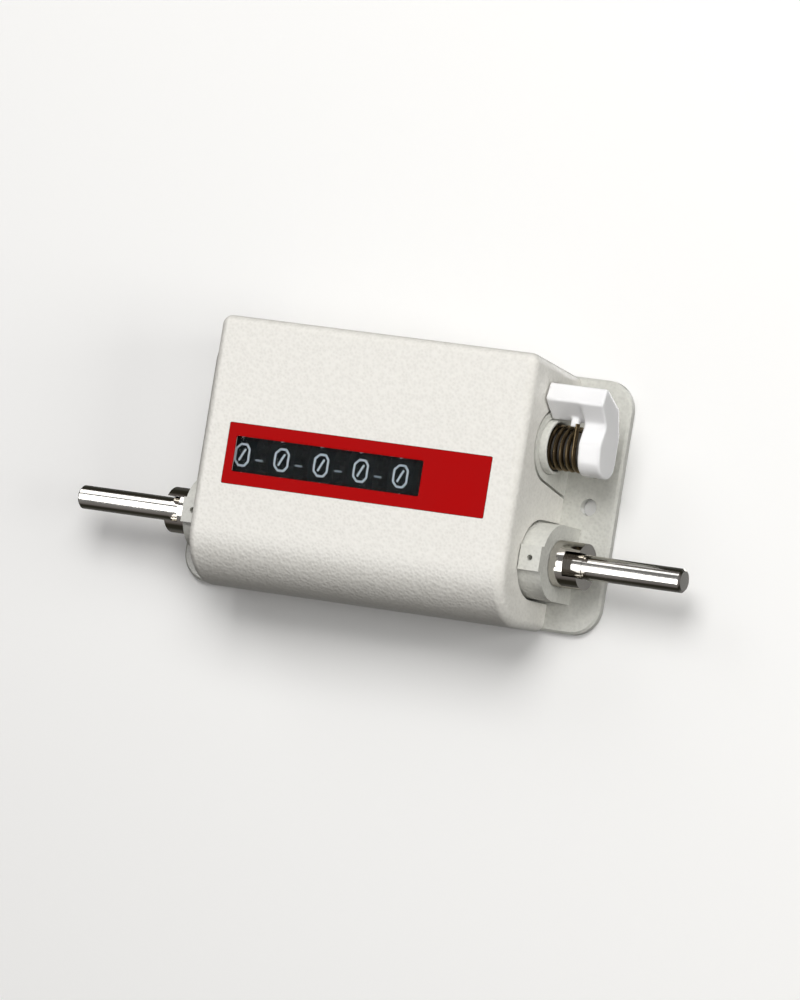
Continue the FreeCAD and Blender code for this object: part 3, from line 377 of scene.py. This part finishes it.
def startEdit(item):
    onlyActive(item)
    bpy.ops.object.mode_set(mode="EDIT")
    bpy.ops.mesh.select_all(action="DESELECT")


def startEditAll(item):
    startEdit(item)
    bpy.ops.mesh.select_all(action="SELECT")


def endEdit():
    bpy.ops.object.mode_set(mode="OBJECT")


def pickVertices(item, test):
    # selects in edit mode the vertices that pass the test, in metres
    bpy.ops.object.mode_set(mode="OBJECT")
    for vertex in item.data.vertices:
        vertex.select = test(vertex.co)
    bpy.ops.object.mode_set(mode="EDIT")


def pushOut(move):
    bpy.ops.mesh.extrude_region_move(TRANSFORM_OT_translate={"value": tuple(move)})


def shrinkBy(factors):
    bpy.ops.transform.resize(value=factors, center_override=(0, 0, 0))


def outward(item):
    startEdit(item)
    bpy.ops.mesh.select_mode(type="VERT")
    bpy.ops.mesh.select_all(action="SELECT")
    bpy.ops.mesh.remove_doubles(threshold=1e-6)
    bpy.ops.mesh.normals_make_consistent(inside=False)
    endEdit()


def smooth(item, degrees):
    onlyActive(item)
    bpy.ops.object.shade_smooth_by_angle(angle=math.radians(degrees))


def softEdges(item, width, segments=2, degrees=35):
    edge = item.modifiers.new("edge", "BEVEL")
    edge.limit_method = "ANGLE"
    edge.angle_limit = math.radians(degrees)
    edge.width = mm(width)
    edge.segments = segments
    applyAll(item)
    smooth(item, 50)


def turnOver(item, degrees, axis, place):
    # turns about the origin, moves by millimetres, and bakes both into the mesh
    item.rotation_euler = [math.radians(degrees) if letter == axis else 0 for letter in "XYZ"]
    item.location = [mm(value) for value in place]
    return bakePlace(item)


def copyOf(item, name, place):
    onlyActive(item)
    bpy.ops.object.duplicate()
    twin = bpy.context.active_object
    twin.name = name
    twin.location = [mm(value) for value in place]
    return bakePlace(twin)


def joinAll(items):
    clearSelection()
    for item in items:
        item.select_set(True)
    bpy.context.view_layer.objects.active = items[0]
    bpy.ops.object.join()
    return items[0]


def drawLine(name, strokes, width, finish):
    # strokes is a list of (points in mm, closed); the line is round until it is flattened
    curve = bpy.data.curves.new(name, "CURVE")
    curve.dimensions = "3D"
    curve.bevel_depth = mm(width / 2)
    curve.bevel_resolution = 1
    curve.use_fill_caps = True
    for points, closed in strokes:
        line = curve.splines.new("POLY")
        line.points.add(len(points) - 1)
        for target, point in zip(line.points, points):
            target.co = (*(mm(value) for value in point), 1)
        line.use_cyclic_u = closed
    item = bpy.data.objects.new(name, curve)
    bpy.context.scene.collection.objects.link(item)
    onlyActive(item)
    bpy.ops.object.convert(target="MESH")
    return addObject(name, bpy.context.active_object, finish)


# Figures printed round the number wheels.
figures = {
    "height": 6.2,
    "width": 4.3,
    "stroke": 0.72,
    "thickness": 0.10,
    "drumRadius": 13.25,
    "wheelHeight": 18.2,
    "unitsPlace": 13.4,
    "pitch": 12.9,
    "steps": 5,                  # points along each straight stroke, so that it can bend
}
# strokes on a unit box, from the lower left corner
figureStrokes = {
    0: [[(0.28, 0), (0.72, 0), (1, 0.22), (1, 0.78), (0.72, 1), (0.28, 1), (0, 0.78), (0, 0.22), (0.28, 0)],
        [(0.3, 0.22), (0.7, 0.78)]],
    1: [[(0.15, 0.78), (0.5, 1), (0.5, 0)], [(0.18, 0), (0.82, 0)]],
    2: [[(0.02, 0.75), (0.28, 1), (0.72, 1), (1, 0.76), (0.95, 0.55), (0, 0), (1, 0)]],
    3: [[(0.05, 0.85), (0.28, 1), (0.72, 1), (0.98, 0.78), (0.7, 0.54), (0.38, 0.54)],
        [(0.7, 0.54), (1, 0.27), (0.72, 0), (0.26, 0), (0, 0.18)]],
    4: [[(0.78, 0), (0.78, 1), (0, 0.3), (1, 0.3)]],
    5: [[(0.94, 1), (0.12, 1), (0.06, 0.56), (0.66, 0.6), (1, 0.38), (0.92, 0.12), (0.62, 0), (0.05, 0.06)]],
    6: [[(0.85, 1), (0.35, 0.82), (0, 0.38), (0.1, 0.1), (0.36, 0), (0.68, 0), (1, 0.24), (0.92, 0.5),
         (0.6, 0.6), (0.12, 0.48)]],
    7: [[(0, 1), (1, 1), (0.4, 0)]],
    8: [[(0.5, 0.54), (0.14, 0.64), (0.08, 0.86), (0.32, 1), (0.68, 1), (0.92, 0.86), (0.86, 0.64),
         (0.5, 0.54)],
        [(0.5, 0.54), (0.04, 0.38), (0, 0.14), (0.28, 0), (0.72, 0), (1, 0.14), (0.96, 0.38), (0.5, 0.54)]],
    9: [[(0.15, 0), (0.65, 0.18), (1, 0.62), (0.9, 0.9), (0.64, 1), (0.32, 1), (0, 0.76), (0.08, 0.5),
         (0.4, 0.4), (0.88, 0.52)]],
}


def figureLine(line, drop):
    # one stroke in mm, its straights cut into steps; a stroke that ends where it starts is closed
    onStrip = []
    for near, far in zip(line, line[1:]):
        for step in range(figures["steps"]):
            onStrip.append([n + (f - n) * step / figures["steps"] for n, f in zip(near, far)])
    closed = line[0] == line[-1]
    if not closed:
        onStrip.append(line[-1])
    points = [((u - 0.5) * figures["width"], 0, (v - 0.5) * figures["height"] - drop) for u, v in onStrip]
    return points, closed


def makeFigures():
    # all ten figures stand one below the other on a strip, which is bent round into a drum
    spacing = 2 * math.pi * figures["drumRadius"] / 10
    strokes = [figureLine(line, digit * spacing) for digit, lines in figureStrokes.items() for line in lines]
    first = drawLine("figures5", strokes, figures["stroke"], "figureWhite")
    startEditAll(first)
    shrinkBy((1, figures["thickness"] / figures["stroke"], 1))
    endEdit()
    heights = [vertex.co.z for vertex in first.data.vertices]
    bend = first.modifiers.new("round", "SIMPLE_DEFORM")
    bend.deform_method = "BEND"
    bend.deform_axis = "X"
    bend.angle = (max(heights) - min(heights)) / mm(figures["drumRadius"])
    applyAll(first)
    turnOver(first, -90, "X", (figures["unitsPlace"], 0, figures["wheelHeight"] + figures["drumRadius"]))
    smooth(first, 40)
    wheels = [first]
    for number in range(4, 0, -1):
        wheels.append(copyOf(first, "figures%d" % number, ((number - 5) * figures["pitch"], 0, 0)))
    for number, wheel in zip((5, 4, 3, 2, 1), wheels):
        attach(wheel, "units_wheel" if number == 5 else "wheel_%d" % number)


makeFigures()
print("figures on the wheels")


dashes = {"length": 2.4, "width": 0.5, "flatness": 0.08, "height": -1.1, "behindLens": 32.28,
          "afterWheel": 6.2}


def makeDashes():
    # short blue-grey dashes on the back of the lens, one in each gap between two wheels
    strokes = []
    for number in range(1, 5):
        centre = figures["unitsPlace"] - (5 - number) * figures["pitch"] + dashes["afterWheel"]
        ends = [(centre + side * dashes["length"] / 2, dashes["height"], 0) for side in (-1, 1)]
        strokes.append((ends, False))
    marks = drawLine("lensDashes", strokes, dashes["width"], "markBlue")
    startEditAll(marks)
    shrinkBy((1, 1, dashes["flatness"]))
    endEdit()
    turnOver(marks, 0, "X", (0, 0, dashes["behindLens"]))
    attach(marks, "housing")


makeDashes()
print("marks between the figures")


darkLine = {"halfLength": 42.6, "halfHeight": 8.9, "width": 0.32, "front": 33.498, "depth": 0.35, "edge": 0.08}


def makeDarkLine():
    # thin dark line round the red border, flush with the front
    clearSelection()
    bpy.ops.mesh.primitive_plane_add(size=1, location=(0, 0, mm(darkLine["front"] - darkLine["depth"])))
    darkLineRing = addObject("windowDarkLine", bpy.context.active_object, "darkLineBlack")
    darkLineRing.scale = (mm(2 * darkLine["halfLength"]), mm(2 * darkLine["halfHeight"]), 1)
    bakePlace(darkLineRing)
    startEditAll(darkLineRing)
    bpy.ops.mesh.inset(thickness=mm(darkLine["width"]))
    bpy.ops.mesh.delete(type="FACE")
    bpy.ops.mesh.select_all(action="SELECT")
    pushOut((0, 0, mm(darkLine["depth"])))
    endEdit()
    outward(darkLineRing)
    softEdges(darkLineRing, darkLine["edge"])
    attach(darkLineRing, "housing")


makeDarkLine()
print("window seal")


spring = {
    "axis": (15.0, 15.5),
    "start": 51.0,
    "length": 10.4,
    "turns": 5.25,
    "meanRadius": 5.95,
    "wire": 1.3,
    "sides": 12,
    "stepsPerTurn": 28,
    "fixedLeg": 6.6,
    "freeLeg": 6.9,
    "ringReach": 0.75,           # of the wire's thickness, from the middle of an end ring
    "ringDepth": 0.02,
}


def makeSpring():
    # a ring of wire is screwed along the shaft, then each end is drawn out into its leg
    across = mm(spring["meanRadius"])
    along = mm(spring["length"])
    reach = mm(spring["wire"] * spring["ringReach"])
    turn = spring["turns"] * 2 * math.pi
    clearSelection()
    bpy.ops.mesh.primitive_circle_add(vertices=spring["sides"], radius=mm(spring["wire"] / 2),
                                      location=(0, -across, 0))
    coil = addObject("resetSpring", bpy.context.active_object, "springWire")
    bakePlace(coil)
    screw = coil.modifiers.new("coil", "SCREW")
    screw.axis = "X"
    screw.angle = -turn
    screw.screw_offset = along
    screw.steps = screw.render_steps = int(spring["turns"] * spring["stepsPerTurn"])
    applyAll(coil)
    around = math.pi - turn
    fixedEnd = (Vector((0, -across, 0)), Vector((0, 0, 1)), spring["fixedLeg"])
    freeEnd = (Vector((along, across * math.cos(around), across * math.sin(around))),
               Vector((0, -math.sin(around), math.cos(around))), spring["freeLeg"])
    for middle, away, leg in (fixedEnd, freeEnd):
        # the open ring at this end of the coil is closed and drawn straight out
        def onRing(co):
            gap = co - middle
            return gap.length < reach and abs(gap.dot(away)) < mm(spring["ringDepth"])

        startEdit(coil)
        bpy.ops.mesh.select_mode(type="VERT")
        pickVertices(coil, onRing)
        bpy.ops.mesh.edge_face_add()
        pushOut(-away * mm(leg))
        endEdit()
    outward(coil)
    turnOver(coil, 0, "X", (spring["start"], *spring["axis"]))
    smooth(coil, 55)
    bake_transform(coil)
    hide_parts("reset_spring")


makeSpring()
print("reset spring")


cup = {"start": 50.0, "length": 3.6, "outer": 7.85, "inner": 6.95, "sides": 64, "edge": 0.3}


def makeCup():
    # cast lip of the boss that shields the first coil
    clearSelection()
    bpy.ops.mesh.primitive_circle_add(vertices=cup["sides"], radius=mm(cup["outer"]), fill_type="NGON")
    lip = addObject("springCup", bpy.context.active_object, "basePaint")
    startEditAll(lip)
    bpy.ops.mesh.inset(thickness=mm(cup["outer"] - cup["inner"]))
    bpy.ops.mesh.delete(type="FACE")
    bpy.ops.mesh.select_all(action="SELECT")
    pushOut((0, 0, mm(cup["length"])))
    endEdit()
    outward(lip)
    softEdges(lip, cup["edge"], 3)
    turnOver(lip, 90, "Y", (cup["start"], *spring["axis"]))
    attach(lip, "housing")


makeCup()
print("spring cup")


backScrew = {
    "head": 5.3,
    "shank": 2.9,
    "length": 9.0,
    "sunk": 0.06,
    "recess": 0.9,
    "recessSpan": 3.0,
    "recessDepth": 1.3,
    "recessTaper": 0.45,
    "edge": 0.07,
    "sides": 40,
    "across": 41.5,
    "rise": 29.4,
    "drop": 31.0,
}


def cutRecess(screwBody, turned):
    # one bar of the cross, narrower at its floor
    clearSelection()
    bpy.ops.mesh.primitive_cube_add(size=1, location=(0, 0, 0))
    bit = bpy.context.active_object
    bit.scale = (mm(backScrew["recessSpan"]), mm(backScrew["recess"]), mm(2 * backScrew["recessDepth"]))
    bit.rotation_euler = (0, 0, math.radians(turned))
    bakePlace(bit)
    startEdit(bit)
    pickVertices(bit, lambda co: co.z > 0)
    shrinkBy((backScrew["recessTaper"], backScrew["recessTaper"], 1))
    endEdit()
    recess = screwBody.modifiers.new("recess", "BOOLEAN")
    recess.operation = "DIFFERENCE"
    recess.solver = "EXACT"
    recess.object = bit
    applyAll(screwBody)
    bpy.data.objects.remove(bit)


def makeBackScrews():
    # countersunk head, its flat top just under the back face, with a cross recess cut into it
    clearSelection()
    bpy.ops.mesh.primitive_circle_add(vertices=backScrew["sides"], radius=mm(backScrew["head"] / 2),
                                      fill_type="NGON", location=(0, 0, mm(backScrew["sunk"])))
    screwBody = addObject("coverScrewHeads", bpy.context.active_object, "plateSteel")
    bakePlace(screwBody)
    slope = (backScrew["head"] - backScrew["shank"]) / 2
    shrink = backScrew["shank"] / backScrew["head"]
    startEditAll(screwBody)
    pushOut((0, 0, mm(slope)))
    shrinkBy((shrink, shrink, 1))
    pushOut((0, 0, mm(backScrew["length"] - slope)))
    endEdit()
    outward(screwBody)
    for turned in (0, 90):
        cutRecess(screwBody, turned)
    softEdges(screwBody, backScrew["edge"], 2, 40)
    places = [(x, y, 0) for x in (-backScrew["across"], backScrew["across"])
              for y in (backScrew["rise"], -backScrew["drop"])]
    copies = [copyOf(screwBody, "coverScrewHeads%d" % number, place) for number, place in enumerate(places)]
    bpy.data.objects.remove(screwBody)
    heads = joinAll(copies)
    heads.name = "coverScrewHeads"
    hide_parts("cover_screws")
    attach(heads, "housing")


makeBackScrews()
print("cover screws")


# The studio: a pale sheet, soft panels and a camera at the photograph's angle.
floor = {"size": 6.0, "drop": 0.0002, "colour": (0.97, 0.97, 0.965), "roughness": 0.65, "gloss": 0.2,
         "grain": 900.0}


def makeFloor():
    clearSelection()
    bpy.ops.mesh.primitive_plane_add(size=floor["size"], location=(0, 0, -floor["drop"]))
    item = bpy.context.active_object
    item.name = "floorSheet"
    bakePlace(item)
    material, nodes, links, shader = newMaterial("floorPaper", floor["colour"], floor["roughness"],
                                                 specular=floor["gloss"])
    grain = noiseOn(nodes, links, objectPlace(nodes, links), floor["grain"], 2.0)
    bumpOn(nodes, links, grain, shader, 0.00002, 0.3)
    item.data.materials.append(material)
    item.visible_diffuse = False     # the object is lit by the panels and the sky, not by the sheet's glare
    item.visible_glossy = False


lights = {
    # name: (place, size, watts, colour, lights surfaces, shows in reflections)
    "keyPanel": ((0.22, 0.70, 1.12), (0.85, 0.75), 11.7, (1.0, 0.99, 0.975), True, False),
    "fillPanel": ((0.75, 0.0, 1.25), (0.6, 0.6), 1.7, (1.0, 1.0, 1.0), True, False),
    "streakPanel": ((-0.66, -0.27, 1.22), (1.50, 0.5), 9.0, (1.0, 1.0, 1.0), False, True),
    "leftPanel": ((-0.85, 0.95, 0.75), (0.7, 0.7), 3.0, (1.0, 1.0, 1.0), True, True),
    "sidePanel": ((1.35, 0.06, 0.62), (0.6, 0.6), 7.6, (1.0, 1.0, 0.97), True, False),
    "backPanel": ((0.3, 0.5, -1.4), (0.9, 0.9), 8.0, (1.0, 1.0, 1.0), True, True),
}
aim = Vector((0, 0, 0.01))


def makeLights():
    for name, (place, size, power, colour, lighting, mirrored) in lights.items():
        data = bpy.data.lights.new(name, "AREA")
        data.shape = "RECTANGLE"
        data.size, data.size_y = size
        data.energy = power
        data.color = colour
        item = bpy.data.objects.new(name, data)
        bpy.context.scene.collection.objects.link(item)
        item.location = place
        item.rotation_mode = "QUATERNION"
        item.rotation_quaternion = (aim - Vector(place)).to_track_quat("-Z", "Y")
        item.visible_diffuse = lighting
        item.visible_glossy = mirrored


sky = {
    "strength": 1.0,
    # brightness from behind the base (0), past the floor's edge (0.5), to straight before the window (1)
    "stops": [(0.0, (0.32, 0.32, 0.32)), (0.20, (0.11, 0.11, 0.105)), (0.34, (0.030, 0.029, 0.022)),
              (0.52, (0.026, 0.024, 0.017)), (0.66, (0.17, 0.155, 0.15)), (0.82, (0.21, 0.205, 0.20)),
              (0.95, (0.20, 0.20, 0.20))],
}


def makeWorld():
    world = bpy.data.worlds.new("studio")
    bpy.context.scene.world = world
    world.use_nodes = True
    nodes, links = world.node_tree.nodes, world.node_tree.links
    way = nodes.new("ShaderNodeTexCoord")
    parts = nodes.new("ShaderNodeSeparateXYZ")
    links.new(way.outputs["Generated"], parts.inputs["Vector"])
    upright = scaledSum(nodes, links, parts.outputs["Z"], 0.5, 0.5)
    back = nodes["Background"]
    links.new(rampOn(nodes, links, upright, sky["stops"]), back.inputs["Color"])
    back.inputs["Strength"].default_value = sky["strength"]


camera = {
    "azimuth": 27.549,
    "elevation": -2.645,
    "roll": 9.163,
    "distance": 2.2638,
    "focalPixels": 7859.7,
    "centre": (408.65, 483.15),
    "frame": (800, 1000),
    "sensor": 36.0,
}


def makeCamera():
    azimuth, elevation, roll = (math.radians(camera[k]) for k in ("azimuth", "elevation", "roll"))
    back = Vector((math.sin(azimuth) * math.cos(elevation), math.sin(elevation),
                   math.cos(azimuth) * math.cos(elevation)))
    level = Vector((0, 1, 0)).cross(back).normalized()
    over = back.cross(level)
    right = level * math.cos(roll) + over * math.sin(roll)
    up = over * math.cos(roll) - level * math.sin(roll)
    data = bpy.data.cameras.new("camera")
    item = bpy.data.objects.new("camera", data)
    bpy.context.scene.collection.objects.link(item)
    width, height = camera["frame"]
    data.sensor_width = camera["sensor"]
    data.lens = camera["sensor"] * camera["focalPixels"] / height
    data.shift_x = (width / 2 - camera["centre"][0]) / height
    data.shift_y = (camera["centre"][1] - height / 2) / height
    data.clip_start, data.clip_end = 0.05, 20
    turned = Matrix((right, up, back)).transposed().to_4x4()
    turned.translation = back * camera["distance"]
    item.rotation_mode = "QUATERNION"
    item.matrix_world = turned
    bpy.context.scene.camera = item


makeFloor()
makeWorld()
makeLights()
makeCamera()
bpy.context.scene.view_settings.view_transform = "Standard"
print("stage ready")
